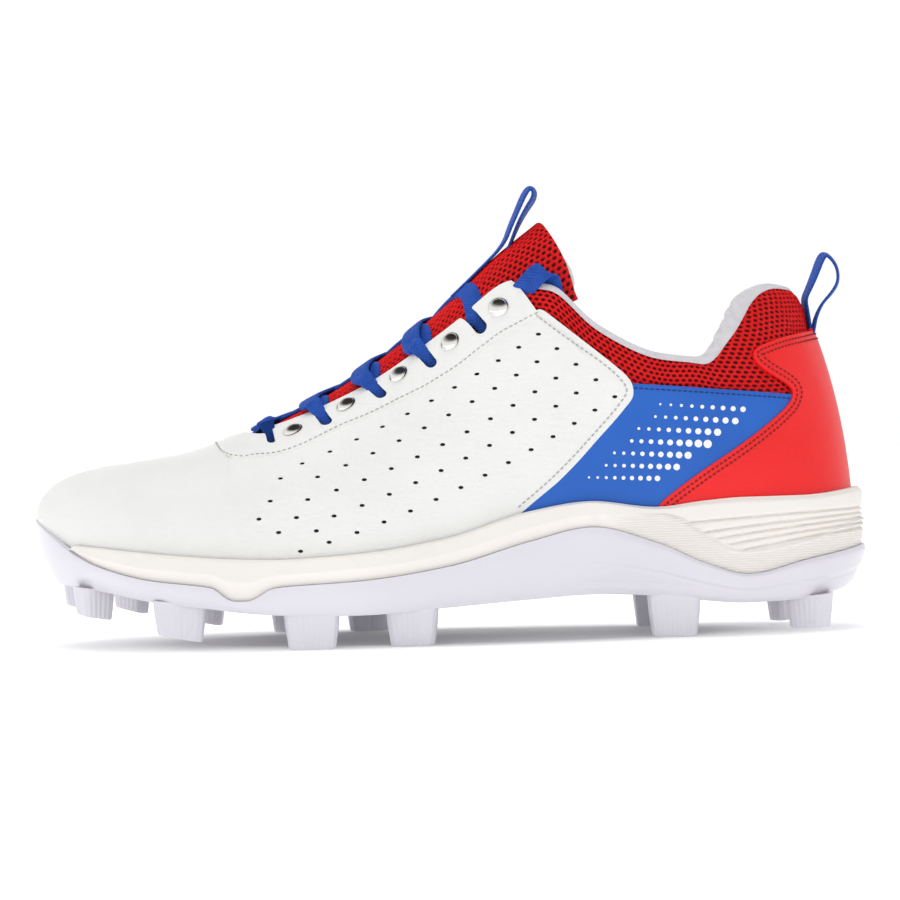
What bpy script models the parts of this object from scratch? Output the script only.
"""Left training shoe with moulded studs, worked out from one table of sections and one of sole heights."""

import math
from bisect import bisect_right
from collections import namedtuple

import bmesh
import bpy
from mathutils import Matrix, Vector

# All sizes are millimetres, and MM brings them to metres.
# The toe points to -X, the heel to +X, the lateral (outer) side to -Y; studs stand on Z = 0.
MM = 0.001
WELD = 0.00001
GAP = 0.3

# Sheet thicknesses: the bootie, its leather step and padded collar, and what is sewn on it
WALL = 3.0
PAD = 7.5
LEATHER = 1.2
PANEL = 0.7
COUNTER = 1.2
EYESTAY = 0.8
TONGUE = 5.0
TAPE = 1.4
LACE = 1.4

# Each section is cut in this many columns and the wall in this many rows, the same in every layer
SECTION_COLUMNS = 2
WALL_ROWS = 8
BEYOND = 0.1
RELIEF_CLEAR = 1.8

# One row a section, toe to heel. foot: where the section stands on the sole outline, its half widths
# and the inset of the upper. top: where it ends, on the ridge, at the throat or at the collar.
# turn: degrees the wall leans over by its top; full: below 1 is boxier; belly: bulge in the middle.
Section = namedtuple("Section", "foot_x lateral medial inset top_x mid half top_z turn full belly")
SECTIONS = (
    Section(-148.0, -6.0, 6.0, 3.4, -108.0, 4.0, 0.0, 64.6, 90, 0.84, 4.4),
    Section(-140.0, 17.0, 29.0, 3.8, -105.0, 3.8, 0.0, 65.1, 90, 0.84, 4.2),
    Section(-122.0, 36.5, 43.0, 4.8, -99.0, 3.4, 0.0, 66.4, 90, 0.86, 3.6),
    Section(-98.0, 46.5, 49.5, 5.4, -90.0, 2.8, 0.0, 68.4, 90, 0.90, 3.0),
    Section(-76.0, 50.2, 51.0, 5.5, -75.0, 2.2, 0.0, 73.4, 90, 0.94, 3.0),
    Section(-58.0, 51.0, 50.0, 5.5, -61.0, 1.6, 11.0, 76.2, 74, 0.96, 3.0),
    Section(-28.0, 49.0, 45.0, 5.4, -30.0, 0.6, 16.5, 89.0, 64, 1.0, 3.0),
    Section(2.0, 44.5, 38.5, 5.2, 1.0, -0.4, 20.5, 109.0, 56, 1.0, 2.6),
    Section(17.0, 42.0, 36.0, 5.0, 24.0, -1.0, 23.5, 124.8, 48, 1.0, 2.6),
    Section(32.0, 40.0, 34.6, 5.0, 37.0, -1.2, 27.0, 121.5, 36, 1.0, 2.6),
    Section(50.0, 38.2, 34.2, 5.0, 53.0, -1.3, 30.5, 108.2, 26, 1.0, 2.6),
    Section(72.0, 37.0, 35.0, 4.8, 75.0, -1.2, 32.3, 97.8, 18, 1.0, 2.6),
    Section(93.0, 36.2, 36.0, 4.6, 90.0, -0.6, 31.2, 97.4, 20, 1.0, 2.4),
    Section(113.0, 34.0, 35.0, 4.5, 102.5, 0.0, 27.4, 107.0, 30, 1.0, 2.2),
    Section(131.0, 27.0, 28.5, 4.4, 110.5, 0.4, 20.0, 120.2, 42, 1.0, 2.0),
    Section(143.0, 14.5, 16.5, 4.3, 119.5, 0.8, 10.0, 123.6, 52, 1.0, 1.8),
    Section(148.0, -1.0, 1.0, 4.3, 125.5, 1.0, 0.0, 122.4, 55, 1.0, 1.6),
)
LAST = len(SECTIONS) - 1
ROUND = 2 * LAST
COLUMNS = SECTION_COLUMNS * ROUND

# Heights of the sole along the shoe: top rim, line where midsole meets outsole, underside, foot bed
Sole = namedtuple("Sole", "x rim parting base bed")
SOLE = (
    Sole(-148.0, 46.0, 45.8, 22.6, 34.2),
    Sole(-140.0, 41.4, 41.0, 22.0, 33.0),
    Sole(-132.0, 37.2, 36.4, 21.4, 32.0),
    Sole(-122.0, 36.1, 30.6, 20.2, 30.4),
    Sole(-103.0, 34.0, 25.0, 17.0, 28.0),
    Sole(-83.0, 32.2, 22.6, 14.8, 26.0),
    Sole(-71.0, 31.5, 17.6, 13.2, 25.2),
    Sole(-58.0, 31.1, 21.8, 12.1, 24.7),
    Sole(-30.0, 32.4, 23.2, 11.3, 25.5),
    Sole(0.0, 36.8, 27.2, 12.9, 28.4),
    Sole(28.0, 45.0, 34.8, 14.6, 31.5),
    Sole(49.0, 47.9, 39.0, 15.6, 33.6),
    Sole(72.0, 45.3, 32.8, 14.4, 35.0),
    Sole(88.0, 47.0, 25.6, 12.4, 35.8),
    Sole(103.0, 47.9, 21.5, 11.2, 36.2),
    Sole(124.0, 47.9, 25.7, 11.6, 36.6),
    Sole(148.0, 49.8, 29.5, 14.6, 37.0),
)
PLATE, PLATE_COVER = 5.0, 1.2
BUMPER_FROM, BUMPER_TO = 0.4, 4.0

# Edges of the sole from below upwards: inset from the outline, and share of the height of its side.
# The midsole has two insets, one for where it shows and one for where the toe bumper hides it.
Edge = namedtuple("Edge", "inset share")
OUTSOLE_SIDE = (
    Edge(7.0, 0.0), Edge(5.0, 0.14), Edge(2.7, 0.46), Edge(1.8, 0.52), Edge(0.0, 0.84), Edge(0.5, 1.0),
)
Band = namedtuple("Band", "hidden seen share")
OUTSOLE_LIP, OUTSOLE_FLOOR = Band(1.7, 2.8, 1.0), Band(2.0, 3.2, 0.0)
MIDSOLE_KEEL, MIDSOLE_LEDGE = Band(2.6, 3.6, 0.0), Band(2.5, 3.2, 0.0)
MIDSOLE_SIDE = (Band(2.4, 0.6, 0.0), Band(2.4, 0.0, 0.45), Band(2.5, 0.3, 0.8), Band(2.9, 1.2, 1.0))
HIDDEN_LIP, HIDDEN_FLOOR, LEAST_BAND = 3.4, 4.0, 0.8
CUP_FIT = GAP + 0.6
INSOLE, INSOLE_ROOM, INSOLE_DISH = 4.0, WALL + 0.6, 1.0

# Moulded studs: middle, size along and across, and turn towards the middle of the shoe
Stud = namedtuple("Stud", "x y length width turn")
STUDS = (
    Stud(-133.0, 5.0, 13.0, 10.0, 80.0),
    Stud(-124.5, -21.0, 14.0, 9.0, 42.0),
    Stud(-118.0, 31.0, 14.0, 9.0, -32.0),
    Stud(-93.0, -37.0, 18.0, 9.5, 12.0),
    Stud(-93.0, 39.0, 18.0, 9.5, -6.0),
    Stud(-47.5, -41.0, 19.0, 9.5, -2.0),
    Stud(-58.5, 40.5, 18.5, 9.5, 4.0),
    Stud(-13.3, -37.0, 18.0, 9.0, -8.0),
    Stud(-30.5, 35.0, 17.0, 9.0, 11.0),
    Stud(77.3, -26.0, 18.5, 9.5, -2.0),
    Stud(75.5, 25.0, 18.0, 9.5, 2.0),
    Stud(125.5, -19.0, 16.0, 9.5, -34.0),
    Stud(123.0, 21.0, 16.0, 9.5, 34.0),
)
STUD_TAPER = 0.84
STUD_ROOT = 2.4
STUD_ROUND = 2.2
SPRING_FROM, SPRING_TO, SPRING, SPRING_POWER = -68.0, -141.0, 15.5, 1.15
HEEL_FROM, HEEL_TO, HEEL_LIFT = 90.0, 134.0, 1.8

# Ribs fanned round the heel of the midsole: where a groove starts and its height there and behind
Groove = namedtuple("Groove", "x start end")
GROOVES = (
    Groove(80.5, 39.4, 42.6),
    Groove(87.0, 36.0, 40.8),
    Groove(91.5, 33.8, 39.0),
    Groove(95.5, 31.6, 37.2),
    Groove(100.0, 29.4, 35.4),
)
GROOVE_WIDTH, GROOVE_DEPTH, GROOVE_CLEAR, GROOVE_BEND, GROOVE_COLUMNS = 0.8, 1.1, 1.5, 1.6, 12

# Side outlines, x and z, of what lies behind the white leather, of the blue panel and the counter
BEHIND_LEATHER = (
    (16.5, 37.8), (25.0, 44.5), (38.6, 55.4), (52.6, 69.8), (61.5, 79.5), (64.6, 84.2), (64.2, 88.0),
    (60.2, 93.0), (53.5, 98.6), (40.0, 108.4), (29.4, 117.6), (26.4, 122.6), (25.6, 132.0),
    (25.6, 150.0), (160.0, 150.0), (160.0, 25.0), (16.5, 25.0),
)
SIDE_PANEL = (
    (25.9, 44.7), (39.2, 55.3), (53.2, 69.6), (62.1, 79.2), (65.3, 84.0), (65.0, 88.2),
    (86.0, 86.4), (105.3, 84.4), (120.0, 82.8), (117.8, 79.0), (107.7, 71.3), (97.8, 64.6),
    (88.0, 58.5), (78.3, 51.8), (71.4, 46.4), (70.0, 42.0), (26.0, 42.0),
)
HEEL_COUNTER = (
    (71.0, 42.0), (72.3, 46.2), (78.8, 51.2), (88.5, 57.9), (98.3, 64.0), (108.2, 70.7), (118.4, 78.6),
    (120.8, 82.7), (120.4, 85.2), (117.2, 87.6), (111.4, 90.9), (107.6, 94.2), (106.4, 97.0),
    (107.9, 99.4), (112.2, 101.0), (118.0, 102.9), (127.0, 104.8), (133.0, 105.7), (150.0, 107.0),
    (155.0, 42.0),
)
OUTLINE_REACH = 80.0

# Places in the section table, counted in rows from the toe, where layers start and end
RELIEF_FROM, EYESTAY_FROM, THROAT_END, COUNTER_FROM, PANEL_PLACES = 6.5, 3.5, 8.0, 10.5, (7.5, 14.5)

# Throat: tab middles and notches by the x of the throat edge, and the band that carries them
TABS = (-54.8, -36.5, -18.3, -0.7, 16.6)
NOTCHES = (-63.5, -45.8, -27.6, -9.1, 7.4)
NOTCH_WIDTH, NOTCH_DEPTH, NOTCH_REACH, NOTCH_SIDES = 5.0, 8.0, 14.0, 12
EYESTAY_BAND, EYESTAY_TIP, EYESTAY_LIFT = 14.0, 16.0, 0.5
RIVET_RADIUS, RIVET_HEIGHT, RIVET_INSET, RIVET_LIFT, RIVET_SIDES = 3.5, 2.2, 7.4, 0.4, 8
RIVET_DOME = ((0.0, 0.0), (1.0, 0.0), (0.94, 0.45), (0.6, 0.85), (0.0, 1.0))

# Padded collar: where along the shoe and how far up the wall the padding grows
PAD_FROM_X, PAD_FULL_X = 26.0, 66.0
PAD_FROM_V, PAD_FULL_V = 0.5, 0.86
PAD_HEEL, PAD_HEEL_X = 0.6, (96.0, 116.0)

# Tongue along its middle line: place, half width, how far its edges drop and lean back
TongueRow = namedtuple("TongueRow", "x y z half drop lean")
TONGUE_ROWS = (
    TongueRow(-86.0, 2.4, 63.2, 17.0, 7.0, 0.0),
    TongueRow(-66.0, 1.8, 71.9, 19.0, 11.0, 0.0),
    TongueRow(-50.0, 1.2, 79.6, 21.0, 16.0, 0.0),
    TongueRow(-35.0, 0.7, 87.9, 22.0, 20.2, 0.0),
    TongueRow(-17.0, 0.1, 101.2, 23.0, 25.8, 1.0),
    TongueRow(0.5, -0.4, 116.5, 23.0, 30.0, 3.0),
    TongueRow(18.0, -0.9, 133.0, 21.5, 33.0, 8.0),
    TongueRow(35.6, -1.0, 146.6, 19.0, 34.0, 14.0),
)
TONGUE_TURN = 78.0
TONGUE_COLUMNS, TONGUE_ACROSS = 12, 8

# Lace: x on the tongue of each pair of holes, how much room its strands leave to the throat edge
LACE_WIDTH, LACE_SLOPE, LACE_ROOM, LACE_COLUMNS = 6.6, 0.75, 4.2, 5
LACE_LOW, LACE_HIGH = 0.5, 1.3
LACE_PAIRS = (-59.5, -42.5, -24.5, -6.5, 9.5)
LACE_END_COLUMNS = 12
LACE_END_PATH = (
    (28.5, 29.0, 121.2), (31.5, 29.2, 125.5), (34.5, 27.6, 129.2), (37.4, 24.4, 129.4),
    (39.6, 22.0, 125.0), (39.9, 21.6, 117.0), (39.2, 21.6, 109.0), (38.4, 20.6, 101.0),
)
LACE_END_MID, LACE_END_ACROSS = -1.2, (0.78, 0.0, -0.62)

# Pull loops, x and z along the tape
LOOP_WIDTH, LOOP_COLUMNS = 10.0, 18
LOOP_MID = {"tongue_loop": -0.9, "heel_loop": 1.0}
TONGUE_LOOP = (
    (9.0, 126.2), (15.0, 132.0), (20.6, 137.2), (22.6, 143.0), (26.0, 150.6), (28.6, 156.0),
    (31.4, 159.2), (33.4, 158.0), (32.6, 154.2), (29.4, 150.0), (26.4, 144.6), (24.6, 140.4),
)
HEEL_LOOP = (
    (134.4, 107.4), (132.6, 111.2), (129.8, 116.2), (130.4, 119.8), (133.0, 123.6), (134.4, 127.8),
    (135.6, 131.2), (137.6, 132.9), (140.2, 130.6), (141.6, 126.6), (141.2, 122.0), (138.8, 117.8),
    (136.8, 113.0), (136.4, 108.4),
)

for item in list(bpy.data.objects):
    bpy.data.objects.remove(item, do_unlink=True)
PARTS = bpy.data.collections.new("training_shoe")
CUTTERS = bpy.data.collections.new("cutters")
bpy.context.scene.collection.children.link(PARTS)
bpy.context.scene.collection.children.link(CUTTERS)


class Curve:
    """A smooth line through the rows of a table that never swings past them."""

    def __init__(self, at, values):
        self.at = list(at)
        self.values = list(values)
        last = len(self.at) - 1
        rates = [(self.values[i + 1] - self.values[i]) / (self.at[i + 1] - self.at[i]) for i in range(last)]
        self.slopes = [rates[0]]
        for before, after in zip(rates, rates[1:]):
            turned = before * after <= 0.0
            self.slopes.append(0.0 if turned else 2.0 * before * after / (before + after))
        self.slopes.append(rates[-1])

    def __call__(self, x):
        i = min(max(bisect_right(self.at, x) - 1, 0), len(self.at) - 2)
        step = self.at[i + 1] - self.at[i]
        f = min(max((x - self.at[i]) / step, 0.0), 1.0)
        start = (1.0 + 2.0 * f) * (1.0 - f) ** 2 * self.values[i]
        end = f * f * (3.0 - 2.0 * f) * self.values[i + 1]
        bend = f * (1.0 - f) * ((1.0 - f) * self.slopes[i] - f * self.slopes[i + 1]) * step
        return start + end + bend


def round_shoe(value):
    """A column of the section table round the shoe: toe, lateral side, heel, medial side, toe again."""
    places = range(-2, ROUND + 3)
    values = []
    for place in places:
        k = place % ROUND
        row = SECTIONS[k] if k <= LAST else SECTIONS[ROUND - k]
        values.append(value(row, -1.0 if k <= LAST else 1.0))
    return Curve(places, values)


def along(rows, column):
    return Curve([row.x for row in rows], [getattr(row, column) for row in rows])


SOLE_X = round_shoe(lambda row, side: row.foot_x)
SOLE_Y = round_shoe(lambda row, side: -row.lateral if side < 0.0 else row.medial)
INSET = round_shoe(lambda row, side: row.inset)
TOP_X = round_shoe(lambda row, side: row.top_x)
TOP_MID = round_shoe(lambda row, side: row.mid)
TOP_HALF = round_shoe(lambda row, side: side * row.half)
TOP_Z = round_shoe(lambda row, side: row.top_z)
TURN = round_shoe(lambda row, side: math.radians(row.turn))
FULL = round_shoe(lambda row, side: row.full)
BELLY = round_shoe(lambda row, side: row.belly)
RIM, PARTING = along(SOLE, "rim"), along(SOLE, "parting")
BASE, BED = along(SOLE, "base"), along(SOLE, "bed")
TONGUE_Y, TONGUE_Z = along(TONGUE_ROWS, "y"), along(TONGUE_ROWS, "z")
TONGUE_HALF = along(TONGUE_ROWS, "half")
TONGUE_DROP, TONGUE_LEAN = along(TONGUE_ROWS, "drop"), along(TONGUE_ROWS, "lean")


def mix(a, b, f):
    return a + (b - a) * f


def ramp(x, start, end):
    return min(max((x - start) / (end - start), 0.0), 1.0)


def inward(t):
    """Level direction from the sole outline towards the inside of the shoe."""
    step = 0.02
    ahead = Vector((SOLE_X(t + step) - SOLE_X(t - step), SOLE_Y(t + step) - SOLE_Y(t - step), 0.0))
    return Vector((-ahead.y, ahead.x, 0.0)).normalized()


def outline(t, inset, z):
    return Vector((SOLE_X(t), SOLE_Y(t), z)) + inward(t) * inset


def middle(t, height):
    """Point on the middle line of the sole that both sides of a section share."""
    ends_in = 0.9
    x = ends_in * SOLE_X(t)
    return Vector((x, 0.5 * (SOLE_Y(t) + SOLE_Y(ROUND - t)), height(x)))


def wall_base(t, v):
    """Point of the upper's outer face, from the sole (v 0) to its top edge (v 1)."""
    foot = outline(t, INSET(t), BED(SOLE_X(t)) + GAP)
    top = Vector((TOP_X(t), TOP_MID(t) + TOP_HALF(t), TOP_Z(t)))
    turn, full = TURN(t), FULL(t)
    lean = turn * abs(v)
    across = (1.0 - abs(math.cos(lean)) ** full) / (1.0 - abs(math.cos(turn)) ** full)
    up = math.copysign((math.sin(lean) / math.sin(turn)) ** full, v)
    point = foot + (top - foot) * across
    point.z = foot.z + (top.z - foot.z) * up
    return point - inward(t) * (BELLY(t) * math.sin(math.pi * v))


def side_normal(t, v):
    step = 0.02
    v = min(max(v, step), 1.0 - step)
    along_wall = wall_base(t + step, v) - wall_base(t - step, v)
    up_wall = wall_base(t, v + step) - wall_base(t, v - step)
    return along_wall.cross(up_wall).normalized()


def wall_normal(t, v):
    """Outward direction of the wall; on the ridge of the vamp both sides share one."""
    normal = side_normal(t, v)
    on_ridge = v > 0.999 and abs(TOP_HALF(t)) < WELD
    return (normal + side_normal(ROUND - t, v)).normalized() if on_ridge else normal


def wall(t, v, out):
    return wall_base(t, v) + wall_normal(t, v) * out


def wall_at_height(t, z):
    """How far up the wall a height is met."""
    foot_z = BED(SOLE_X(t)) + GAP
    up = max(z - foot_z, 0.0) / (TOP_Z(t) - foot_z)
    return math.asin(min(up ** (1.0 / FULL(t)) * math.sin(TURN(t)), 1.0)) / TURN(t)


def wall_length(t):
    steps = 12
    points = [wall_base(t, i / steps) for i in range(steps + 1)]
    return sum((b - a).length for a, b in zip(points, points[1:]))


def place_of(curve, x):
    """Place on the lateral side where a column of the table reaches x."""
    low, high = 0.0, float(LAST)
    for _ in range(40):
        half = 0.5 * (low + high)
        low, high = (half, high) if curve(half) < x else (low, half)
    return 0.5 * (low + high)


def link(name, mesh, collection=PARTS):
    data = bpy.data.meshes.new(name)
    mesh.to_mesh(data)
    mesh.free()
    thing = bpy.data.objects.new(name, data)
    collection.objects.link(thing)
    if collection is CUTTERS:
        thing.hide_render = True
        thing.display_type = "WIRE"
    return thing


def bend_grid(mesh, columns, rows, place):
    """Add a flat grid to a mesh and bend it over a surface."""
    grid = bmesh.ops.create_grid(mesh, x_segments=columns, y_segments=rows, size=0.5)["verts"]
    places = {}
    for vertex in grid:
        u = round((vertex.co.x + 0.5) * columns) / columns
        v = round((vertex.co.y + 0.5) * rows) / rows
        places[vertex] = (u, v)
        vertex.co = place(u, v) * MM
    return places


def sheet(name, columns, rows, place, collection=PARTS):
    mesh = bmesh.new()
    bend_grid(mesh, columns, rows, place)
    bmesh.ops.remove_doubles(mesh, verts=mesh.verts, dist=WELD)
    return link(name, mesh, collection)


def skin(name, columns, profile):
    """Closed skin round the shoe: one profile a column, from the middle below to the middle above."""
    profiles = [profile(ROUND * i / columns) for i in range(columns)]
    rows = len(profiles[0]) - 1
    return sheet(name, columns, rows, lambda u, v: profiles[round(u * columns) % columns][round(v * rows)])


def thicken(thing, thickness, outwards):
    modifier = thing.modifiers.new("thickness", "SOLIDIFY")
    modifier.thickness = thickness * MM
    modifier.offset = 1.0 if outwards else -1.0
    modifier.use_even_offset = True
    thing.modifiers.new("flat_faces", "TRIANGULATE")
    return modifier


def cut(thing, cutter, operation):
    modifier = thing.modifiers.new(cutter.name, "BOOLEAN")
    modifier.operation = operation
    modifier.object = cutter
    modifier.solver = "EXACT"


def side_cutter(name, points):
    """A side outline pulled through the shoe."""
    curve = bpy.data.curves.new(name, "CURVE")
    curve.dimensions = "2D"
    curve.fill_mode = "BOTH"
    curve.extrude = OUTLINE_REACH * MM
    spline = curve.splines.new("POLY")
    spline.points.add(len(points) - 1)
    for point, (x, z) in zip(spline.points, points):
        point.co = (x * MM, z * MM, 0.0, 1.0)
    spline.use_cyclic_u = True
    drawn = bpy.data.objects.new(name + "_drawn", curve)
    mesh = bmesh.new()
    mesh.from_mesh(bpy.data.meshes.new_from_object(drawn))
    bpy.data.objects.remove(drawn)
    bmesh.ops.remove_doubles(mesh, verts=mesh.verts, dist=WELD)
    bmesh.ops.rotate(mesh, verts=mesh.verts, matrix=Matrix.Rotation(math.radians(90.0), 3, "X"))
    bmesh.ops.recalc_face_normals(mesh, faces=mesh.faces)
    return link(name, mesh, CUTTERS)


def paint(thing, name, colour, roughness, metallic=0.0):
    material = bpy.data.materials.get(name) or bpy.data.materials.new(name)
    material.use_nodes = True
    shader = material.node_tree.nodes["Principled BSDF"]
    shader.inputs["Base Color"].default_value = (*colour, 1.0)
    shader.inputs["Roughness"].default_value = roughness
    shader.inputs["Metallic"].default_value = metallic
    thing.data.materials.append(material)


# Outsole: a plate with turned up sides and a toe bumper, its studs moulded on
def web(x):
    return min(BASE(x) + PLATE, PARTING(x) - PLATE_COVER)


def seen_band(x):
    """Share of the midsole band that shows: none behind the toe bumper, all of it elsewhere."""
    return ramp(RIM(x) - PARTING(x), BUMPER_FROM, BUMPER_TO) if x < 0.0 else 1.0


def outsole_profile(t):
    x = SOLE_X(t)
    base, top, seen = BASE(x), PARTING(x), seen_band(x)
    lip = outline(t, mix(OUTSOLE_LIP.hidden, OUTSOLE_LIP.seen, seen), top)
    floor = outline(t, mix(OUTSOLE_FLOOR.hidden, OUTSOLE_FLOOR.seen, seen), web(x))
    side = [outline(t, edge.inset, mix(base, top, edge.share)) for edge in OUTSOLE_SIDE]
    return [middle(t, BASE), *side, lip, floor, middle(t, web)]


def ground(x):
    """Height of the stud bottoms: toe spring in front and a slight lift behind."""
    toe = SPRING * ramp(x, SPRING_FROM, SPRING_TO) ** SPRING_POWER
    return toe + HEEL_LIFT * ramp(x, HEEL_FROM, HEEL_TO)


def add_stud(mesh, stud):
    corners = bmesh.ops.create_cube(mesh, size=1.0)["verts"]
    turn = Matrix.Rotation(math.radians(stud.turn), 3, "Z")
    for corner in corners:
        low = corner.co.z < 0.0
        size = STUD_TAPER if low else 1.0
        flat = turn @ Vector((corner.co.x * stud.length * size, corner.co.y * stud.width * size, 0.0))
        x, y = stud.x + flat.x, stud.y + flat.y
        corner.co = Vector((x, y, ground(x) if low else BASE(x) + STUD_ROOT)) * MM
    upright = [e for e in mesh.edges if e.verts[0] in corners and e.verts[1] in corners
               and abs(e.verts[0].co.z - e.verts[1].co.z) > STUD_ROOT * MM]
    bmesh.ops.bevel(mesh, geom=upright, offset=STUD_ROUND * MM, segments=2, profile=0.5, affect="EDGES")


outsole = skin("outsole", COLUMNS, outsole_profile)
stud_mesh = bmesh.new()
for stud in STUDS:
    add_stud(stud_mesh, stud)
cut(outsole, link("studs", stud_mesh, CUTTERS), "UNION")
paint(outsole, "outsole_tpu", (0.76, 0.75, 0.78), 0.35)


# Midsole: a foam cup that the upper sits in, with ribs round the heel
def above_web(x):
    return web(x) + GAP


def midsole_profile(t):
    x = SOLE_X(t)
    seen = seen_band(x)
    rim = mix(BED(x), RIM(x), seen)
    low = min(PARTING(x) + GAP, rim - LEAST_BAND)
    keel = outline(t, mix(MIDSOLE_KEEL.hidden, MIDSOLE_KEEL.seen, seen), above_web(x))
    ledge = outline(t, mix(MIDSOLE_LEDGE.hidden, MIDSOLE_LEDGE.seen, seen), low)
    side = [outline(t, mix(band.hidden, band.seen, seen), mix(low, rim, band.share))
            for band in MIDSOLE_SIDE]
    lip = wall(t, wall_at_height(t, rim), CUP_FIT)
    lip.z = rim
    lip = mix(outline(t, HIDDEN_LIP, rim), lip, seen)
    floor = wall(t, 0.0, CUP_FIT)
    floor.z = BED(x)
    floor = mix(outline(t, HIDDEN_FLOOR, BED(x)), floor, seen)
    return [middle(t, above_web), keel, ledge, *side, lip, floor, middle(t, BED)]


midsole = skin("midsole", COLUMNS, midsole_profile)
for number, groove in enumerate(GROOVES):
    start = place_of(SOLE_X, groove.x)

    def groove_place(u, v, groove=groove, start=start):
        t = mix(start, ROUND - start, u)
        behind = ramp(SOLE_X(t), groove.x, SECTIONS[LAST].foot_x)
        z = mix(groove.start, groove.end, 1.0 - (1.0 - behind) ** GROOVE_BEND)
        return outline(t, GROOVE_DEPTH, z + (v - 0.5) * GROOVE_WIDTH)

    groove_cutter = sheet("groove_%d" % number, GROOVE_COLUMNS, 1, groove_place, CUTTERS)
    thicken(groove_cutter, GROOVE_DEPTH + GROOVE_CLEAR, True)
    cut(midsole, groove_cutter, "DIFFERENCE")
paint(midsole, "midsole_eva", (0.92, 0.89, 0.87), 0.6)


# Insole: a loose liner lying in the cup, inside the upper, a little dished
def insole_under(x):
    return BED(x) + GAP


def insole_over(x):
    return BED(x) + GAP + INSOLE - INSOLE_DISH


def insole_profile(t):
    low = wall(t, 0.0, -INSOLE_ROOM)
    low.z = insole_under(SOLE_X(t))
    high = wall(t, wall_at_height(t, low.z + INSOLE), -INSOLE_ROOM)
    high.z = low.z + INSOLE
    return [middle(t, insole_under), low, high, middle(t, insole_over)]


insole = skin("insole", COLUMNS // 2, insole_profile)
paint(insole, "insole_foam", (0.55, 0.54, 0.56), 0.9)


# Upper: one bootie, its front a step proud where it is leather, its collar padded inwards
def padding(t, v):
    place = ramp(TOP_X(t), PAD_FROM_X, PAD_FULL_X) * (1.0 - PAD_HEEL * ramp(TOP_X(t), *PAD_HEEL_X))
    return place * ramp(v, PAD_FROM_V, PAD_FULL_V)


upper_mesh = bmesh.new()
pad_layer = upper_mesh.verts.layers.deform.verify()
upper_places = bend_grid(upper_mesh, COLUMNS, WALL_ROWS, lambda u, v: wall(ROUND * u, v, 0.0))
for vertex, (u, v) in upper_places.items():
    vertex[pad_layer][0] = padding(ROUND * u, v)
bmesh.ops.remove_doubles(upper_mesh, verts=upper_mesh.verts, dist=WELD)
upper = link("upper", upper_mesh)
upper.vertex_groups.new(name="padding")
shell = thicken(upper, PAD, False)
shell.vertex_group = "padding"
shell.thickness_vertex_group = WALL / PAD

LAYER_ROWS = [mix(-BEYOND, 1.0 + BEYOND, i / WALL_ROWS) for i in range(WALL_ROWS + 1)]


def layer(name, start, end, low, high, out, collection=PARTS):
    """A sheet over the wall between two places round the shoe and two rows up it."""
    def place(u, v):
        return wall(mix(start, end, u), LAYER_ROWS[round(mix(low, high, v))], out)

    return sheet(name, round(SECTION_COLUMNS * (end - start)), high - low, place, collection)


relief = layer("relief", RELIEF_FROM, ROUND - RELIEF_FROM, 0, WALL_ROWS, -LEATHER, CUTTERS)
thicken(relief, LEATHER + RELIEF_CLEAR, True)
cut(relief, side_cutter("behind_leather", BEHIND_LEATHER), "INTERSECT")
cut(upper, relief, "DIFFERENCE")

notch_mesh = bmesh.new()
for x in NOTCHES:
    for side in (False, True):
        t = place_of(TOP_X, x)
        t = ROUND - t if side else t
        v = 1.0 - (NOTCH_DEPTH - 0.5 * NOTCH_WIDTH) / wall_length(t)
        out = wall_normal(t, v)
        up = (wall_base(t, 1.0) - wall_base(t, v)).normalized()
        frame = Matrix((up.cross(out), up, out)).transposed()
        slot = bmesh.ops.create_cone(notch_mesh, cap_ends=True, segments=NOTCH_SIDES, depth=NOTCH_REACH,
                                     radius1=0.5 * NOTCH_WIDTH, radius2=0.5 * NOTCH_WIDTH)["verts"]
        for vertex in slot:
            reach = NOTCH_REACH if vertex.co.y > GAP else 0.0
            vertex.co = (wall_base(t, v) + frame @ (vertex.co + Vector((0.0, reach, 0.0)))) * MM
notches = link("notches", notch_mesh, CUTTERS)
cut(upper, notches, "DIFFERENCE")
paint(upper, "upper_leather", (0.90, 0.89, 0.88), 0.5)


# Eyestay: a leather band round the throat, notched between its tabs
def eyestay_place(u, v, medial):
    t = mix(EYESTAY_FROM, THROAT_END, u)
    front = ramp(TOP_X(t), TOP_X(EYESTAY_FROM), TOP_X(EYESTAY_FROM) + EYESTAY_TIP)
    low = 1.0 - EYESTAY_BAND * math.sqrt(max(front, 0.04)) / wall_length(t)
    return wall(ROUND - t if medial else t, mix(low, 1.0, v), EYESTAY_LIFT)


eyestay_mesh = bmesh.new()
eyestay_columns = round(SECTION_COLUMNS * (THROAT_END - EYESTAY_FROM))
bend_grid(eyestay_mesh, eyestay_columns, 2, lambda u, v: eyestay_place(u, v, False))
bend_grid(eyestay_mesh, eyestay_columns, 2, lambda u, v: eyestay_place(1.0 - u, v, True))
bmesh.ops.remove_doubles(eyestay_mesh, verts=eyestay_mesh.verts, dist=WELD)
eyestay = link("eyestay", eyestay_mesh)
thicken(eyestay, EYESTAY, True)
cut(eyestay, notches, "DIFFERENCE")
paint(eyestay, "eyestay_leather", (0.90, 0.89, 0.88), 0.45)


# Side panels and counter: sheets over the bootie behind the leather, cut to their outlines
BACKED = GAP - LEATHER
side_panel_outline = side_cutter("side_panel_outline", SIDE_PANEL)
front, rear = PANEL_PLACES
for side, start, end in (("lateral", front, rear), ("medial", ROUND - rear, ROUND - front)):
    panel = layer("side_panel_" + side, start, end, 1, WALL_ROWS - 1, BACKED)
    thicken(panel, PANEL, True)
    cut(panel, side_panel_outline, "INTERSECT")
    paint(panel, "side_panel_synthetic", (0.03, 0.14, 0.52), 0.35)

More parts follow.
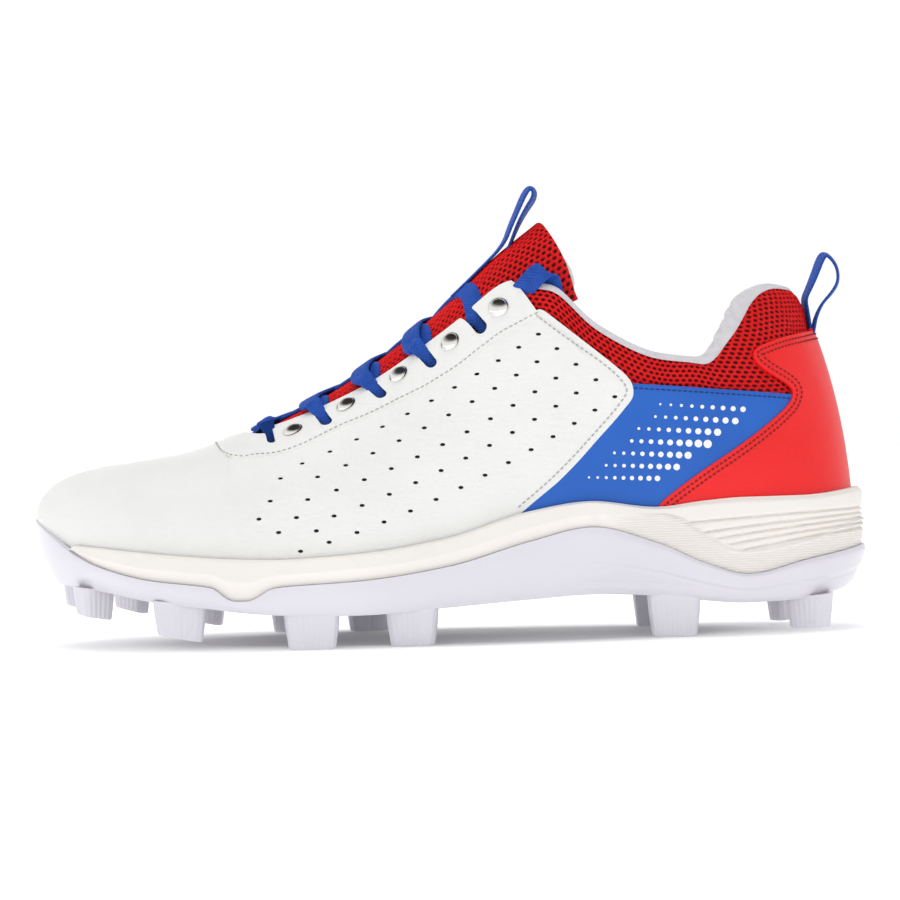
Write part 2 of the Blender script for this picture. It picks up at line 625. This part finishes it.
counter = layer("heel_counter", COUNTER_FROM, ROUND - COUNTER_FROM, 1, WALL_ROWS - 1, BACKED)
thicken(counter, COUNTER, True)
cut(counter, side_cutter("heel_counter_outline", HEEL_COUNTER), "INTERSECT")
paint(counter, "counter_leather", (0.86, 0.045, 0.045), 0.4)


# Rivets: domes on the tabs
def dome(u, v):
    around_it = 2.0 * math.pi * u
    radius, height = RIVET_DOME[round(v * (len(RIVET_DOME) - 1))]
    return Vector((math.cos(around_it) * radius, math.sin(around_it) * radius, height))


for side in ("lateral", "medial"):
    for number, x in enumerate(TABS, 1):
        t = place_of(TOP_X, x)
        v = 1.0 - RIVET_INSET / wall_length(t)
        t = t if side == "lateral" else ROUND - t
        out = wall_normal(t, v)
        seat = wall_base(t, v) + out * (EYESTAY_LIFT + EYESTAY + RIVET_LIFT)
        frame = out.to_track_quat("Z", "Y").to_matrix()
        size = Matrix.Diagonal((RIVET_RADIUS, RIVET_RADIUS, RIVET_HEIGHT))

        def rivet_place(u, v, seat=seat, frame=frame, size=size):
            return seat + frame @ (size @ dome(u, v))

        rivet = sheet("rivet_%s_%d" % (side, number), RIVET_SIDES, len(RIVET_DOME) - 1, rivet_place)
        paint(rivet, "rivet_chrome", (0.80, 0.80, 0.80), 0.1, 1.0)


# Tongue: a padded sheet arched over the foot, from under the vamp to above the collar
def tongue_base(x, arc):
    drop = 1.0 - math.cos(arc)
    y = TONGUE_Y(x) + TONGUE_HALF(x) * math.sin(arc)
    return Vector((x + TONGUE_LEAN(x) * drop, y, TONGUE_Z(x) - TONGUE_DROP(x) * drop))


def tongue(x, arc, out):
    step = 0.01
    along_it = tongue_base(x + 1.0, arc) - tongue_base(x - 1.0, arc)
    over_it = tongue_base(x, arc + step) - tongue_base(x, arc - step)
    return tongue_base(x, arc) + along_it.cross(over_it).normalized() * out


def tongue_place(u, v):
    x = mix(TONGUE_ROWS[0].x, TONGUE_ROWS[-1].x, u)
    return tongue(x, math.radians(TONGUE_TURN) * (2.0 * v - 1.0), 0.0)


tongue_sheet = sheet("tongue", TONGUE_COLUMNS, TONGUE_ACROSS, tongue_place)
thicken(tongue_sheet, TONGUE, False)
paint(tongue_sheet, "tongue_mesh", (0.60, 0.02, 0.025), 0.8)


# Lace: a bar and crossings lying over the tongue, joined where they cross
def lace_arc(x):
    """How far round the tongue the throat edge lies, less some room."""
    half = abs(TOP_HALF(place_of(TOP_X, x)))
    return math.asin(min((half - LACE_ROOM) / TONGUE_HALF(x), 0.95))


def strand(number, x_lateral, x_medial, lift):
    def place(u, v):
        x = mix(x_lateral, x_medial, v) + (u - 0.5) * LACE_WIDTH * LACE_SLOPE
        return tongue(x, mix(-lace_arc(x_lateral), lace_arc(x_medial), v), lift)

    name = "strand_%d" % number if number else "lace"
    band = sheet(name, 1, LACE_COLUMNS, place, CUTTERS if number else PARTS)
    thicken(band, LACE, True)
    return band


runs = [(LACE_PAIRS[0], LACE_PAIRS[0], 0.5 * (LACE_LOW + LACE_HIGH))]
for x_near, x_far in zip(LACE_PAIRS, LACE_PAIRS[1:]):
    runs.append((x_near, x_far, LACE_LOW))
    runs.append((x_far, x_near, LACE_HIGH))
bands = [strand(number, *run) for number, run in enumerate(runs)]
lace = bands[0]
for band in bands[1:]:
    cut(lace, band, "UNION")
paint(lace, "lace_weave", (0.045, 0.16, 0.60), 0.7)


# Flat tapes: the lace ends over the collar and the two pull loops
def tape(name, columns, path, across, width, thickness):
    places = range(len(path))
    lines = [Curve(places, [point[axis] for point in path]) for axis in range(3)]

    def place(u, v):
        return Vector([line(u * (len(path) - 1)) for line in lines]) + across * ((v - 0.5) * width)

    ribbon = sheet(name, columns, 1, place)
    thicken(ribbon, thickness, True).offset = 0.0
    return ribbon


for side, sign in (("lateral", -1.0), ("medial", 1.0)):
    path = [(x, LACE_END_MID + sign * y, z) for x, y, z in LACE_END_PATH]
    across = Vector(LACE_END_ACROSS).normalized()
    end = tape("lace_end_" + side, LACE_END_COLUMNS, path, across, LACE_WIDTH, LACE)
    paint(end, "lace_weave", (0.045, 0.16, 0.60), 0.7)

for name, path in (("tongue_loop", TONGUE_LOOP), ("heel_loop", HEEL_LOOP)):
    path = [(x, LOOP_MID[name], z) for x, z in path]
    loop = tape(name, LOOP_COLUMNS, path, Vector((0.0, 1.0, 0.0)), LOOP_WIDTH, TAPE)
    paint(loop, "loop_tape", (0.045, 0.16, 0.60), 0.7)
